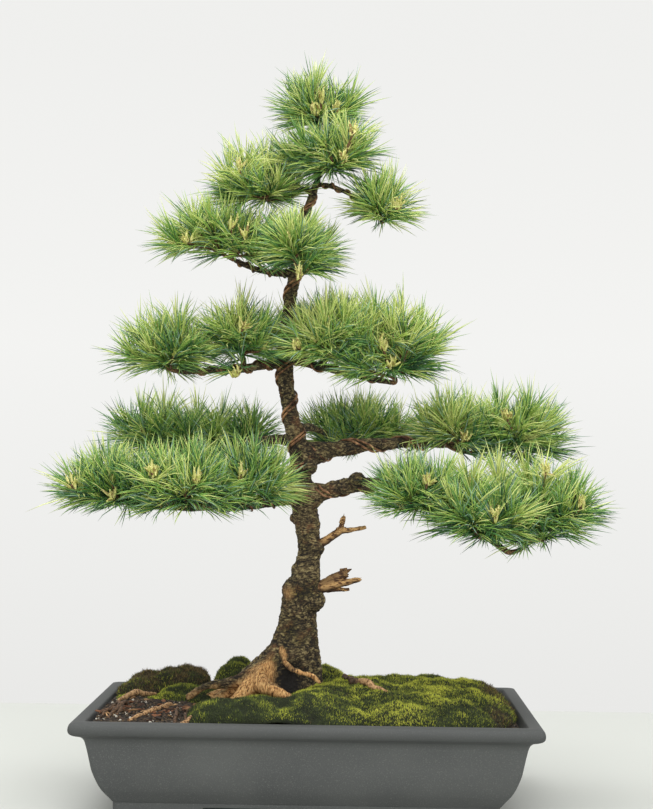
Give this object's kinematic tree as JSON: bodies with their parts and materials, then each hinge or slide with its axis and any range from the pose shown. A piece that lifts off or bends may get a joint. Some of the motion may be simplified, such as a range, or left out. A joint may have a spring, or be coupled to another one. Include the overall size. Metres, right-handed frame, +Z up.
{
  "type": "japanese white pine bonsai in a rectangular pot",
  "caption": "Potted pine bonsai: flared, gently curved trunk with wired boughs and layered sprays of needles, on mossy soil in a low rectangular pot on feet.",
  "frame": {"origin": "on the surface the pot stands on, under the middle of the box round tree and pot together", "axes": "+Z up; +X to the right along the pot's long side, +Y to the back, as the tree is shown from its front"},
  "size_m": [0.5413, 0.34, 0.7175],
  "materials": {
    "bark": "rough, fissured grey-brown bark",
    "needles": "fine satin needles, yellow-green to blue-green",
    "stoneware": "matt, unglazed, dark grey",
    "soil": "granular, damp",
    "mulch": "bark flakes and grit over soil",
    "moss": "soft tufted pile, green to brown",
    "deadwood": "bare, weathered, tan",
    "wire": "dull annealed copper"
  },
  "bodies": {
    "root": {"pot": "stoneware", "soil": "soil", "trunk": "bark", "moss_rear_left": "moss", "moss_behind_root": "moss", "moss_rear": "moss", "moss_right": "moss", "moss_front": "moss", "mulch_left": "mulch", "bough_right_low": "bark", "bough_right_low_end": "bark", "bough_right_low_side": "bark", "bough_right_low_inner": "bark", "bough_right_rear": "bark", "bough_right_rear_side": "bark", "bough_left_low": "bark", "bough_left_low_side": "bark", "bough_left_low_inner": "bark", "bough_left_rear": "bark", "bough_rear_low": "bark", "bough_left_mid": "bark", "bough_left_mid_side": "bark", "bough_right_mid": "bark", "bough_right_mid_side": "bark", "bough_rear_mid": "bark", "bough_left_high": "bark", "bough_front_high": "bark", "bough_rear_high": "bark", "bough_top_right": "bark", "bough_top_left": "bark", "bough_apex": "bark", "foliage_apex": "needles", "foliage_apex_side": "needles", "foliage_top_right": "needles", "foliage_top_left": "needles", "foliage_left_high": "needles", "foliage_front_high": "needles", "foliage_rear_high": "needles", "foliage_left_mid_outer": "needles", "foliage_left_mid_inner": "needles", "foliage_right_mid_inner": "needles", "foliage_right_mid_outer": "needles", "foliage_rear_mid": "needles", "foliage_left_rear": "needles", "foliage_left_low_outer": "needles", "foliage_left_low_mid": "needles", "foliage_left_low_inner": "needles", "foliage_rear_low": "needles", "foliage_right_rear_inner": "needles", "foliage_right_rear_outer": "needles", "foliage_right_low_inner": "needles", "foliage_right_low_mid": "needles", "foliage_right_low_outer": "needles", "wire_trunk_low": "wire", "wire_trunk_high": "wire", "wire_right_low": "wire", "wire_right_rear": "wire", "wire_left_mid": "wire", "stub_upper": "deadwood", "stub_lower": "deadwood"}
  },
  "joints": []
}
